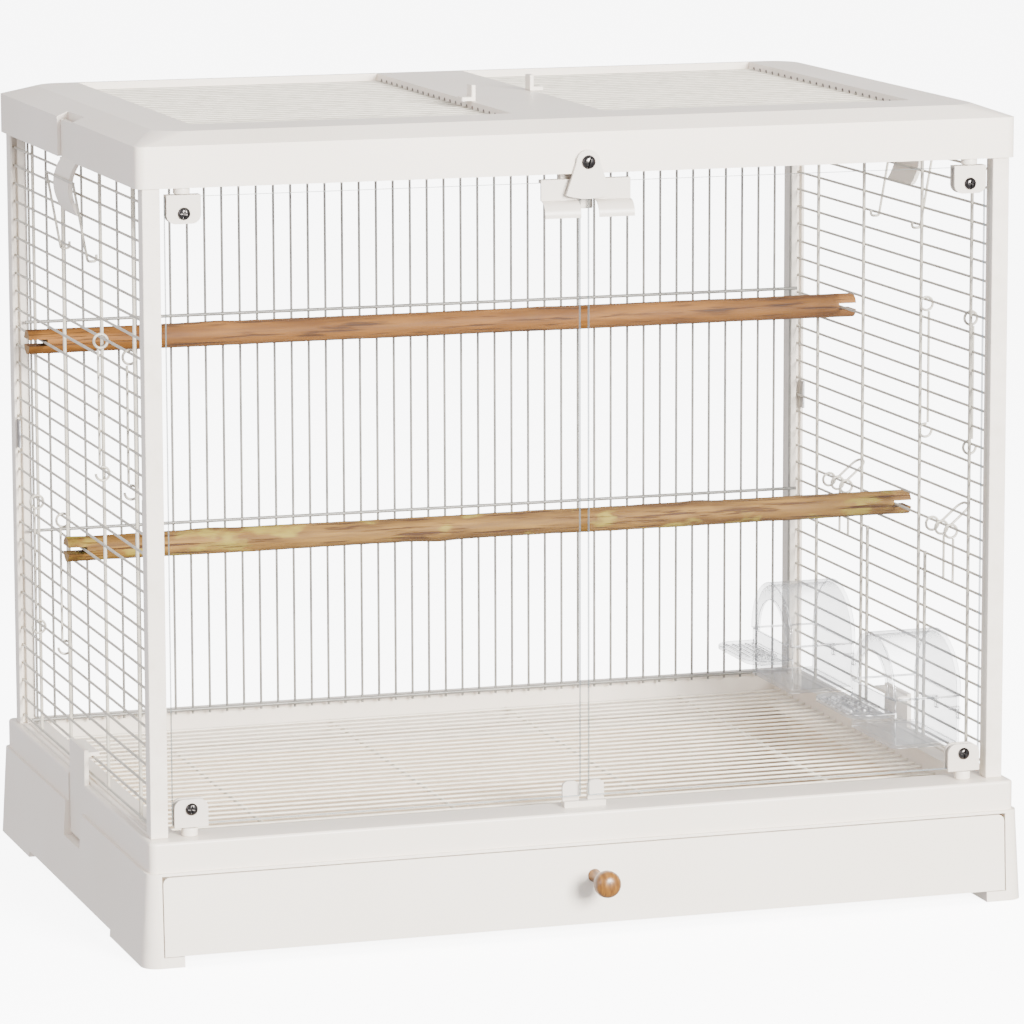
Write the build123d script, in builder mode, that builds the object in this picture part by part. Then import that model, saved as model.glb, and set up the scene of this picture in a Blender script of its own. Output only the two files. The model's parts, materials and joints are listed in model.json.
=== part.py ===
from build123d import *
import os

os.makedirs("parts", exist_ok=True)

# Driving dimensions, in millimetres
wire_spacing = 12.7         # between the cage wires' centres
frame_width = 595.5         # outside the posts, left to right
frame_depth = 395.6         # outside the posts, front to back
frame_height = 423.0        # from the base's top to the lid's lower edge
base_height = 82.0          # from the floor to the base's top
post_size = 11.7
wire_thin = 1.8
wire_thick = 2.4
weld_gap = 0.03             # between crossing wires and beside a seat
slip = 0.3                  # clearance between moving pieces
overrun = 1.0               # how far a cut runs past a face

# Base: an upright upper band over a skirt that flares to the floor
band_over = 12.3            # the band's reach before the posts, front and back
band_side = 3.9             # its reach beside the posts
band_height = 20.0
skirt_step = 2.4            # ledge where the skirt begins
skirt_flare = 3.6           # how much further out the skirt stands at the floor
corner_radius = 5.0
foot_height = 4.5
foot_length = 96.0
well_margin = 20.0          # from the posts' outer faces to the well
well_depth = 12.0           # from the base's top to the floor grille
ledge_width = 9.0
ledge_thickness = 6.0
runner_width = 14.0
rear_wall = 10.0

# Drawer under the floor grille
drawer_half = 293.6
drawer_bottom = 7.4
drawer_top = 59.4
drawer_gap = 0.8
runner_gap = 0.4
drawer_front_thickness = 4.0
drawer_corner = 4.5
tray_wall = 2.4
tray_height = 40.0
tray_side_gap = 1.6
knob_neck_length = 17.0
knob_neck_radius = 4.5
knob_head_radius = 9.0
knob_head_length = 17.0
knob_height = 39.5
knob_screw_radius = 2.0
knob_screw_head_radius = 4.0
knob_screw_head = 2.0

# Lid
lid_over_front = 1.6
lid_over_side = 4.2
fascia_height = 27.0
crown_height = 7.5
crown_inset = 19.0
lid_corner = 6.0
crown_corner = 20.0
lid_rim = 24.0              # solid rim over the posts
lid_skin = 10.0             # thickness of the top
top_open_inner = 31.8       # half the crossbar between the two top openings
top_open_side = 47.75       # from the posts' outer faces
top_open_front = 60.0       # from the posts' front faces
top_open_rear = 21.6        # from the posts' rear faces
top_recess = 6.0
top_ledge = 5.0
catch_width = 11.0
catch_thickness = 3.0
catch_height = 11.0
catch_stand = 3.0           # on the crossbar
catch_tongue = 6.8          # over the opening

# Wire panels
side_inset = 3.8            # side wires' centres inside the posts' outer faces
back_inset = 15.2           # back wires' centres before the posts' rear faces
side_first = 10.5           # topmost side wire below the lid
groove_width = 3.4
groove_depth = 4.0
upright_margin = 49.7       # first uprights from the front and back of the side panel
upright_inner = 139.8
side_panel_rear = 6.6       # from the posts' rear faces to the side panel
upright_top_gap = 4.0
upright_foot_gap = 3.0
back_rail_foot = 3.4
back_rail_head = 5.0        # below the lid
back_rail_shares = (0.33168, 0.68416)       # of the frame's height, the two middle rails
side_door_rows = 7          # wire spacings from a side door's hinge wire to its catch wire
door_top_rows = 8
low_door_top_rows = 19
door_edge = 5.0             # door uprights inside the panel's uprights
ring_radius = 4.6
hook_opening_degrees = 80
feeder_frame_offset = 12.0
feeder_frame_height = 132.0

# Perches
perch_radius = 9.0
perch_reach = 7.75          # past the posts' outer faces
perch_slot_depth = 13.0
perch_slot_height = 4.6
perch_upper_rows = 10
perch_lower_rows = 20
perch_upper_rear = 89.6     # from the posts' rear faces
perch_lower_depth = 196.0

# Glass doors
glass_thickness = 4.0
glass_front = 3.0           # behind the posts' front faces
glass_centre_gap = 5.8
glass_side_gap = 4.0        # between a pane and its post
glass_foot = 7.4            # above the base's top
glass_head = 6.0            # below the lid's lower edge
clamp_width = 22.6
clamp_height = 18.6
clamp_inset = 0.6           # from the pane's outer edge
clamp_wall = 2.0
clamp_cover = 1.4           # how far a clamp reaches past the pane's top or foot
clamp_corner = 6.0          # on a clamp's two inner corners
pivot_inset = 11.4          # door pivot from the pane's outer edge
pin_radius = 2.0
pin_fit = 0.06
bush_radius = 5.4
bush_gap = 0.5
screw_radius = 2.0
screw_head_radius = 4.1
screw_head_height = 2.2
screw_inset = (12.0, 10.6)  # hinge screws from the pane's outer edge, and from its top or foot
handle_width = 24.6
handle_inset = 3.2          # handle from the pane's free edge
handle_rise = 2.2           # above the glass
handle_plate = 13.6
handle_thickness = 1.8
handle_roll_radius = 9.0
stop_width = 29.0
stop_bar_height = 4.0
stop_lobe_width = 11.5
stop_lobe_height = 17.0
stop_thickness = 2.4

# Turn latch at the middle of the lid's front
latch_pivot_height = 7.6    # above the lid's lower edge
latch_top_radius = 8.0
latch_drop = 24.0           # from the pivot to the bottom edge
latch_half_width = 15.2
latch_thickness = 2.4
latch_belly = 2.6
latch_stand = 0.4
latch_screw_radius = 3.0
latch_screw_head_radius = 4.6
latch_screw_head_height = 2.4
latch_block = (15.6, 8.0, 5.4)
latch_tongue = (13.2, 3.0, 24.0)    # hangs from the block behind both panes

# Side latches
lever_width = 44.0
lever_thickness = 3.0
lever_pivot_drop = 5.0      # top latch pivot below the fascia's upper edge
lever_pivot_inset = 4.0
lever_drop = 58.0
lever_pin_radius = 1.5
lever_slot_gap = 1.0
lever_belly = 5.5
bail_radius = 0.9
bail_rows = 4
bail_half = 39.0
bail_height = 24.0          # bail pivot above its lever's lower end
hook_depth = 3.0
base_lever_rows = 2         # wires from the side's lowest one up to the lever's lip
base_lever_margin = 1.6     # plate above its lip
base_lever_drop = 41.0
base_lever_lip = 9.0
base_lever_lip_thickness = 2.4
base_lever_stand = 1.2

# Feeders on the right panel
feeder_width = 82.0
feeder_depth = 50.0
feeder_foot = 12.0          # above the base's top
feeder_cup_height = 34.0
feeder_wall = 2.0
feeder_panel_gap = 1.0
feeder_hook_half = 20.0     # hooks from the feeder's middle
feeder_hook_width = 5.0
feeder_hook_thickness = 2.0
feeder_hook_drop = 7.0      # outer leg below the wire's top
lip_length = 30.0
lip_thickness = 3.0
lip_drop = 12.0
lip_rib = 1.2
lip_ribs = 5
hood_rise = 40.0
hood_opening_radius = 27.0
hood_gap = 0.3
flap_top_rows = 20
flap_rows = 3
flap_half = 8.5
flap_reach = 16.7           # thumb loop, out from its coils
flap_lift = 14.3
flap_tip_share = 0.75       # of flap_half, the loop's corner radius

# Spring clips that hold the wire panels to the posts
clip_height = 20.0
clip_width = 7.0
clip_thickness = 1.2
clip_level = 210.0

# Places worked out from the sizes
skirt_reach = band_over + skirt_step + skirt_flare
knob_length = knob_neck_length + knob_head_length
shoulder = base_height - band_height
knob_foot = knob_height - knob_neck_radius  # lowest point of the knob's foot
drawer_lean = skirt_flare * (shoulder - knob_foot) / shoulder
reach_front = band_over + skirt_step + drawer_lean + weld_gap + knob_length
reach_back = frame_depth + skirt_reach
front = (reach_front - reach_back) / 2      # Y of the posts' front faces
back = front + frame_depth
middle = front + frame_depth / 2
half_width = frame_width / 2
deck = base_height                          # Z of the base's top
lid_low = deck + frame_height
fascia_top = lid_low + fascia_height
crown_top = fascia_top + crown_height
side_x = half_width - side_inset
upright_x = side_x - (wire_thin + wire_thick) / 2 - weld_gap
side_panel_depth = frame_depth - side_panel_rear
panel_middle = front + side_panel_depth / 2
side_wires = int((frame_height - side_first) / wire_spacing) + 1
back_wires = int((frame_width - 2 * post_size) / wire_spacing) + 1
perch_length = frame_width + 2 * perch_reach
uprights_y = [
    front + upright_margin,
    front + upright_inner,
    front + side_panel_depth - upright_inner,
    front + side_panel_depth - upright_margin,
]
back_y = back - back_inset
back_rail_y = back_y - (wire_thin + wire_thick) / 2 - weld_gap
glass_y = front + glass_front
top_open_outer = half_width - top_open_side
glass_outer = half_width - post_size - glass_side_gap
glass_inner = glass_centre_gap / 2
glass_low = deck + glass_foot
glass_high = lid_low - glass_head
pivot_x = glass_outer - pivot_inset
pivot_y = glass_y + glass_thickness / 2
lid_front = front - lid_over_front
lid_side = half_width + lid_over_side
latch_z = lid_low + latch_pivot_height
band_half = half_width + band_side
grille_z = deck - well_depth
loop_root = side_x + ring_radius + wire_thin / 2 + weld_gap
loop_side = loop_root + flap_reach + wire_thin / 2      # rightmost point, on the flaps' loops
foot_side = half_width + band_side + skirt_step + skirt_flare
box_shift = (foot_side - loop_side) / 2                 # centres the whole box on X


def row_z(row):
    """Height of a side wire, counted down from the lid."""
    return lid_low - side_first - row * wire_spacing


def skirt_front(z):
    """Y of the skirt's front face at a height."""
    return front - band_over - skirt_step - skirt_flare * (shoulder - z) / shoulder


def save(solid, name):
    """Writes one node. The cage is drawn about its own middle, then moved to the box's middle."""
    moved = solid.moved(Location((box_shift, 0, 0)))
    moved.label = name
    export_step(moved, f"parts/{name}.step")


# Base shell with its drawer bay, floor ledge and latch recesses
band_depth = frame_depth + 2 * band_over
bay_top = drawer_top + drawer_gap
bay_low = drawer_bottom - runner_gap
bay_half = drawer_half + drawer_gap
bay_back = back + band_over - rear_wall
well_half = half_width - well_margin
well_span = frame_depth - 2 * well_margin + post_size
well_middle = front + well_margin + well_span / 2
recess_side = band_half - lever_thickness - base_lever_stand
recess_low = deck - base_lever_drop - lever_pin_radius * 2
skirt_outer = band_half + skirt_step + skirt_flare
with BuildPart() as base_shell:
    with BuildSketch(Plane.XY.offset(shoulder)):
        with Locations((0, middle)):
            RectangleRounded(2 * band_half, band_depth, corner_radius)
    extrude(amount=band_height)
    fillet(base_shell.faces().sort_by(Axis.Z)[-1].outer_wire().edges(), radius=band_side / 2)
    for level, grow in ((0, skirt_step + skirt_flare), (shoulder, skirt_step)):
        with BuildSketch(Plane.XY.offset(level)):
            with Locations((0, middle)):
                RectangleRounded(2 * (band_half + grow), band_depth + 2 * grow, corner_radius + grow)
    loft()
    bay_length = bay_back - front + band_over + skirt_step + skirt_flare + overrun
    with BuildSketch(Plane.XZ.offset(-bay_back)):
        with Locations((0, (bay_low + bay_top) / 2)):
            Rectangle(2 * bay_half, bay_top - bay_low)
        with Locations((0, bay_low / 2)):
            Rectangle(2 * (bay_half - runner_width), bay_low + 2 * overrun)
    extrude(amount=bay_length, mode=Mode.SUBTRACT)
    with BuildSketch(Plane.XY):
        with Locations((0, middle)):
            Rectangle(2 * skirt_outer + overrun, frame_depth + 2 * skirt_reach - 2 * foot_length)
    extrude(amount=foot_height, mode=Mode.SUBTRACT)
    with BuildSketch(Plane.XY.offset(grille_z - wire_thick)):
        with Locations((0, well_middle)):
            Rectangle(2 * well_half, well_span)
    extrude(amount=well_depth + wire_thick + overrun, mode=Mode.SUBTRACT)
    with BuildSketch(Plane.XY.offset(bay_top - overrun)):
        with Locations((0, well_middle)):
            Rectangle(2 * (well_half - ledge_width), well_span - 2 * ledge_width)
    extrude(amount=well_depth + ledge_thickness + overrun, mode=Mode.SUBTRACT)
    with BuildSketch(Plane.XY.offset(recess_low)):
        for side in (-1, 1):
            with Locations((side * (recess_side + skirt_outer) / 2, panel_middle)):
                Rectangle(skirt_outer - recess_side, lever_width + 2 * lever_slot_gap)
    extrude(amount=deck - recess_low + overrun, mode=Mode.SUBTRACT)
save(base_shell.part, "base_shell")

# Four posts, grooved where the side panels stand in them
for side, side_name in ((-1, "left"), (1, "right")):
    for end, end_name in ((front, "front"), (back, "rear")):
        facing = 1 if end == front else -1
        post_y = end + facing * post_size / 2
        groove_y = end + facing * (post_size - groove_depth / 2)
        with BuildPart() as post:
            with BuildSketch(Plane.XY.offset(deck)):
                with Locations((side * (half_width - post_size / 2), post_y)):
                    Rectangle(post_size, post_size)
                with Locations((side * side_x, groove_y)):
                    Rectangle(groove_width, groove_depth, mode=Mode.SUBTRACT)
            extrude(amount=frame_height)
        save(post.part, f"post_{end_name}_{side_name}")

# Back wire panel
back_rails = [back_rail_foot, *(share * frame_height for share in back_rail_shares), frame_height - back_rail_head]
with BuildPart() as back_grille:
    with BuildSketch(Plane.XY.offset(deck + weld_gap)):
        with Locations((0, back_y)):
            with GridLocations(wire_spacing, wire_spacing, back_wires, 1):
                Circle(wire_thin / 2)
    extrude(amount=frame_height - 2 * weld_gap)
    rail_half = half_width - post_size + groove_depth
    with BuildSketch(Plane.YZ.offset(-rail_half)):
        for height in back_rails:
            with Locations((back_rail_y, deck + height)):
                Circle(wire_thick / 2)
    extrude(amount=2 * rail_half)
save(back_grille.part, "back_grille")


def panel_wires(side, gaps):
    """Level wires of a side panel, each as (row, low y, high y), left out across the gaps."""
    ends = (front + post_size - groove_depth + slip, back - post_size + groove_depth - slip)
    pieces = []
    for row in range(side_wires):
        cuts = [(low, high) for first, last, low, high in gaps if first <= row <= last]
        edges = [ends[0]] + [edge for cut in sorted(cuts) for edge in cut] + [ends[1]]
        pieces += [(row, edges[i], edges[i + 1]) for i in range(0, len(edges), 2)]
    return pieces


# Side wire panels, open where the small doors and feeders are
upright_lap = wire_thick / 2 + weld_gap


def door_gap(top, a, b):
    """Rows and span that a small door between two uprights leaves open in its panel."""
    return top + 1, top + side_door_rows - 1, uprights_y[a] + upright_lap, uprights_y[b] - upright_lap


side_gaps = {
    "left": [door_gap(door_top_rows, 0, 1), door_gap(low_door_top_rows, 2, 3)],
    "right": [door_gap(door_top_rows, 0, 1)],
}
for side, side_name in ((-1, "left"), (1, "right")):
    with BuildPart() as panel:
        with BuildSketch(Plane.XY.offset(deck + upright_foot_gap)):
            for y in uprights_y:
                with Locations((side * upright_x, y)):
                    Circle(wire_thick / 2)
        extrude(amount=frame_height - upright_top_gap - upright_foot_gap)
        if side == 1:
            with BuildSketch(Plane.XY.offset(deck + upright_foot_gap)):
                for y in uprights_y[1:3]:
                    with Locations((side * upright_x, y - feeder_frame_offset)):
                        Circle(wire_thick / 2)
            extrude(amount=feeder_frame_height)
        for row, low, high in panel_wires(side, side_gaps[side_name]):
            with BuildSketch(Plane.XZ.offset(-high)):
                with Locations((side * side_x, row_z(row))):
                    Circle(wire_thin / 2)
            extrude(amount=high - low)
    save(panel.part, f"side_grille_{side_name}")

# Small wire doors in the side panels, hung by rings on a panel wire
hang = ring_radius - wire_thin - weld_gap
for name, side, top, a, b in (
    ("side_door_left_upper", -1, door_top_rows, 0, 1),
    ("side_door_left_lower", -1, low_door_top_rows, 2, 3),
    ("side_door_right_upper", 1, door_top_rows, 0, 1),
):
    door_low = uprights_y[a] + door_edge
    door_high = uprights_y[b] - door_edge
    bar_x = side * (side_x + wire_thin + weld_gap)
    ring_top = row_z(top) - hang
    ring_foot = row_z(top + side_door_rows) - hang
    with BuildPart() as door:
        for row in range(top + 1, top + side_door_rows):
            with BuildSketch(Plane.XZ.offset(-door_high - wire_thin)):
                with Locations((side * side_x, row_z(row))):
                    Circle(wire_thin / 2)
            extrude(amount=door_high - door_low + 2 * wire_thin)
        bar_low = ring_foot + ring_radius + wire_thin / 2 + weld_gap
        bar_high = ring_top - ring_radius - wire_thin / 2 - weld_gap
        with BuildSketch(Plane.XY.offset(bar_low)):
            with Locations((bar_x, door_low), (bar_x, door_high)):
                Circle(wire_thin / 2)
        extrude(amount=bar_high - bar_low)
        for y in (door_low, door_high):
            with BuildSketch(Plane(origin=(side * (side_x + ring_radius), y, ring_top), z_dir=(0, 0, 1))):
                Circle(wire_thin / 2)
            revolve(axis=Axis((side * side_x, y, ring_top), (0, 1, 0)), revolution_arc=360)
            with BuildSketch(Plane(origin=(side * (side_x + ring_radius), y, ring_foot), z_dir=(0, 0, 1))):
                Circle(wire_thin / 2)
            revolve(axis=Axis((side * side_x, y, ring_foot), (0, side, 0)),
                    revolution_arc=360 - hook_opening_degrees)
    save(door.part, name)

# Feeder flaps: three coils on a panel wire, two legs below and a thumb loop to the rear
for name, y in (("feeder_flap_rear", (uprights_y[2] + uprights_y[3]) / 2),
                ("feeder_flap_front", (uprights_y[0] + uprights_y[1]) / 2)):
    eye_z = row_z(flap_top_rows) - hang
    leg_x = side_x + wire_thin + weld_gap
    leg_top = eye_z - ring_radius - wire_thin / 2 - weld_gap
    leg_low = row_z(flap_top_rows + flap_rows)
    loop_near = y + flap_half
    loop_far = loop_near + 2 * flap_half
    with BuildPart() as flap:
        with BuildSketch(Plane.XY.offset(leg_low)):
            with Locations((leg_x, y - flap_half), (leg_x, y + flap_half)):
                Circle(wire_thin / 2)
        extrude(amount=leg_top - leg_low)
        for coil_y in (y - flap_half, loop_near, loop_far):
            with BuildSketch(Plane(origin=(side_x + ring_radius, coil_y, eye_z), z_dir=(0, 0, 1))):
                Circle(wire_thin / 2)
            revolve(axis=Axis((side_x, coil_y, eye_z), (0, 1, 0)))
        with BuildLine():
            FilletPolyline(
                (loop_root, loop_near, eye_z),
                (loop_root + flap_reach, loop_near, eye_z + flap_lift),
                (loop_root + flap_reach, loop_far, eye_z + flap_lift),
                (loop_root, loop_far, eye_z),
                radius=flap_tip_share * flap_half,
            )
        with BuildSketch(Plane(origin=(loop_root, loop_near, eye_z), z_dir=(flap_reach, 0, flap_lift))):
            Circle(wire_thin / 2)
        sweep()
    save(flap.part, name)

# Floor grille on the ledge of the base's well
floor_half = well_half - slip
floor_span = well_span - 2 * slip
with BuildPart() as floor_grille:
    with BuildSketch(Plane.YZ.offset(-floor_half)):
        with Locations((well_middle, grille_z + wire_thin / 2)):
            with GridLocations(wire_spacing, wire_spacing, int(floor_span / wire_spacing), 1):
                Circle(wire_thin / 2)
    extrude(amount=2 * floor_half)
    with BuildSketch(Plane.XZ.offset(-(well_middle + floor_span / 2))):
        with Locations((0, grille_z - wire_thick / 2 - weld_gap)):
            with GridLocations((floor_half - ledge_width) / 2, wire_spacing, 4, 1):
                Circle(wire_thick / 2 - weld_gap)
    extrude(amount=floor_span)
save(floor_grille.part, "floor_grille")

# Perches, slotted at both ends to straddle a side wire
for name, row, depth in (("perch_upper", perch_upper_rows, frame_depth - perch_upper_rear),
                         ("perch_lower", perch_lower_rows, perch_lower_depth)):
    with BuildPart() as perch:
        with BuildSketch(Plane.YZ.offset(-perch_length / 2)):
            with Locations((front + depth, row_z(row))):
                Circle(perch_radius)
                Rectangle(2 * perch_radius, 2 * wire_spacing - wire_thin - slip, mode=Mode.INTERSECT)
        extrude(amount=perch_length)
        with BuildSketch(Plane.XZ.offset(-(front + depth + perch_radius))):
            for side in (-1, 1):
                with Locations((side * (perch_length - perch_slot_depth) / 2, row_z(row))):
                    Rectangle(perch_slot_depth, perch_slot_height)
        extrude(amount=2 * perch_radius, mode=Mode.SUBTRACT)
        crossing = [y for y in uprights_y if abs(y - front - depth) < perch_radius + wire_thick]
        for y in crossing:
            with BuildSketch(Plane.XY.offset(row_z(row) - perch_radius)):
                with Locations((-upright_x, y), (upright_x, y)):
                    Circle(wire_thick / 2 + weld_gap)
            extrude(amount=2 * perch_radius, mode=Mode.SUBTRACT)
    save(perch.part, name)

# Lid shell with two top openings, latch slots and a recess beneath
lid_depth = frame_depth + 2 * lid_over_front
recess_z = crown_top - top_recess
open_span = frame_depth - top_open_front - top_open_rear
open_middle = front + top_open_front + open_span / 2
open_x = (top_open_inner + top_open_outer) / 2
open_width = top_open_outer - top_open_inner
slot_width = lever_width + 2 * lever_slot_gap
lever_x = lid_side - lever_pivot_inset
slot_floor = lever_x - lever_thickness - lever_slot_gap
with BuildPart() as lid_shell:
    with BuildSketch(Plane.XY.offset(lid_low)):
        with Locations((0, middle)):
            RectangleRounded(2 * lid_side, lid_depth, lid_corner)
    extrude(amount=fascia_height)
    for level, inset in ((fascia_top, 0), (crown_top, crown_inset)):
        with BuildSketch(Plane.XY.offset(level)):
            with Locations((0, middle)):
                RectangleRounded(2 * (lid_side - inset), lid_depth - 2 * inset,
                                 lid_corner + inset * (crown_corner - lid_corner) / crown_inset)
    loft()
    with BuildSketch(Plane.XY.offset(lid_low)):
        with Locations((0, middle)):
            Rectangle(2 * (half_width - lid_rim), frame_depth - 2 * lid_rim)
    extrude(amount=crown_top - lid_low - lid_skin, mode=Mode.SUBTRACT)
    for level, shrink in ((recess_z, 0), (lid_low, top_ledge)):
        with BuildSketch(Plane.XY.offset(level)):
            with Locations((-open_x, open_middle), (open_x, open_middle)):
                Rectangle(open_width - 2 * shrink, open_span - 2 * shrink)
        extrude(amount=crown_top - level + overrun, mode=Mode.SUBTRACT)
    with BuildSketch(Plane.XY.offset(lid_low)):
        for side in (-1, 1):
            with Locations((side * (slot_floor + lid_side + overrun) / 2, panel_middle)):
                Rectangle(lid_side + overrun - slot_floor, slot_width)
    extrude(amount=crown_top - lid_low, mode=Mode.SUBTRACT)
save(lid_shell.part, "lid_shell")

# Wire grilles of the two top openings
for side, side_name in ((-1, "left"), (1, "right")):
    grille_low = side * open_x - open_width / 2 + slip
    with BuildPart() as top_grille:
        with BuildSketch(Plane.YZ.offset(grille_low)):
            with Locations((open_middle, recess_z + wire_thin / 2 + weld_gap)):
                with GridLocations(wire_spacing, wire_spacing, int(open_span / wire_spacing), 1):
                    Circle(wire_thin / 2)
        extrude(amount=open_width - 2 * slip)
        with BuildSketch(Plane.XZ.offset(-(open_middle + open_span / 2 - slip - top_ledge))):
            with Locations((side * open_x, recess_z - wire_thick / 2)):
                with GridLocations(open_width / 2 - top_ledge, wire_spacing, 2, 1):
                    Circle(wire_thick / 2 - weld_gap)
        extrude(amount=open_span - 2 * slip - 2 * top_ledge)
    save(top_grille.part, f"top_grille_{side_name}")

# Catches that hold the top grilles down, on the crossbar
catch_shares = {-1: 0.39, 1: 0.54}          # of the frame's depth, by side
with BuildPart() as grille_catches:
    for side, share in catch_shares.items():
        y = front + share * frame_depth
        with BuildSketch(Plane.XZ.offset(-(y + catch_width / 2))):
            with BuildLine():
                foot_x = side * (top_open_inner - catch_stand)
                stem_x = foot_x + side * catch_thickness
                tongue_x = side * (top_open_inner + catch_tongue)
                Polyline(
                    (foot_x, crown_top),
                    (foot_x, crown_top + catch_height),
                    (stem_x, crown_top + catch_height),
                    (stem_x, crown_top + catch_thickness),
                    (tongue_x, crown_top + catch_thickness),
                    (tongue_x, crown_top),
                    close=True,
                )
            make_face()
        extrude(amount=catch_width)
save(grille_catches.part, "grille_catches")

# Drawer: a leaning front, an open tray and a turned knob
front_low = skirt_front(drawer_bottom)
front_high = skirt_front(drawer_top)
with BuildPart() as drawer_front:
    with BuildSketch(Plane.YZ.offset(-drawer_half)):
        with BuildLine():
            Polyline(
                (front_low, drawer_bottom),
                (front_high, drawer_top),
                (front_high + drawer_front_thickness, drawer_top),
                (front_low + drawer_front_thickness, drawer_bottom),
                close=True,
            )
        make_face()
    extrude(amount=2 * drawer_half)
    lean = drawer_front.edges().filter_by(Axis.X, reverse=True).filter_by(Axis.Y)
    fillet(lean.group_by(Axis.Z)[-1], radius=drawer_corner)
    with BuildSketch(Plane.XZ.offset(-(front_high + drawer_front_thickness))):
        with Locations((0, knob_height)):
            Circle(knob_screw_radius + pin_fit)
    extrude(amount=2 * drawer_front_thickness + skirt_flare, mode=Mode.SUBTRACT)
save(drawer_front.part, "drawer_front")

tray_front = front_low + drawer_front_thickness + skirt_flare
tray_back = bay_back - tray_side_gap
tray_half = bay_half - tray_side_gap
tray_low = bay_low + slip
with BuildPart() as drawer_tray:
    with BuildSketch(Plane.XY.offset(tray_low)):
        with Locations((0, (tray_front + tray_back) / 2)):
            Rectangle(2 * tray_half, tray_back - tray_front)
    extrude(amount=tray_height)
    with BuildSketch(Plane.XY.offset(tray_low + tray_wall)):
        with Locations((0, (tray_front + tray_back) / 2)):
            Rectangle(2 * (tray_half - tray_wall), tray_back - tray_front - 2 * tray_wall)
    extrude(amount=tray_height, mode=Mode.SUBTRACT)
    with BuildSketch(Plane.XZ.offset(-(tray_front + tray_wall))):
        with Locations((0, knob_height)):
            Circle(knob_screw_radius + pin_fit)
    extrude(amount=2 * tray_wall, mode=Mode.SUBTRACT)
save(drawer_tray.part, "drawer_tray")

knob_y = skirt_front(knob_foot) - weld_gap
with BuildPart() as drawer_knob:
    with BuildSketch(Plane.YZ):
        with BuildLine():
            base_point = (knob_y, knob_height + knob_neck_radius)
            waist = (knob_y - knob_neck_length / 2, knob_height + knob_neck_radius * 2 / 3)
            head_start = (knob_y - knob_neck_length, knob_height + knob_neck_radius)
            head_side = (knob_y - knob_neck_length - knob_head_length / 2, knob_height + knob_head_radius)
            tip = (knob_y - knob_length, knob_height)
            Spline(base_point, waist, head_start)
            Spline(head_start, head_side, tip, tangents=((-1, 1), (0, -1)))
            Polyline(tip, (knob_y, knob_height), base_point)
        make_face()
    revolve(axis=Axis((0, knob_y, knob_height), (0, -1, 0)), revolution_arc=360)
    with BuildSketch(Plane.XZ.offset(-knob_y)):
        with Locations((0, knob_height)):
            Circle(knob_screw_radius + pin_fit)
    extrude(amount=knob_neck_length, mode=Mode.SUBTRACT)
save(drawer_knob.part, "drawer_knob")

screw_seat = tray_front + tray_wall + weld_gap
with BuildPart() as knob_screw:
    with BuildSketch(Plane.XZ.offset(-screw_seat)):
        with Locations((0, knob_height)):
            Circle(knob_screw_radius)
    extrude(amount=screw_seat - knob_y + knob_neck_length - overrun)
    with BuildSketch(Plane.XZ.offset(-screw_seat - knob_screw_head)):
        with Locations((0, knob_height)):
            Circle(knob_screw_head_radius)
    extrude(amount=knob_screw_head)
save(knob_screw.part, "knob_screw")

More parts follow.
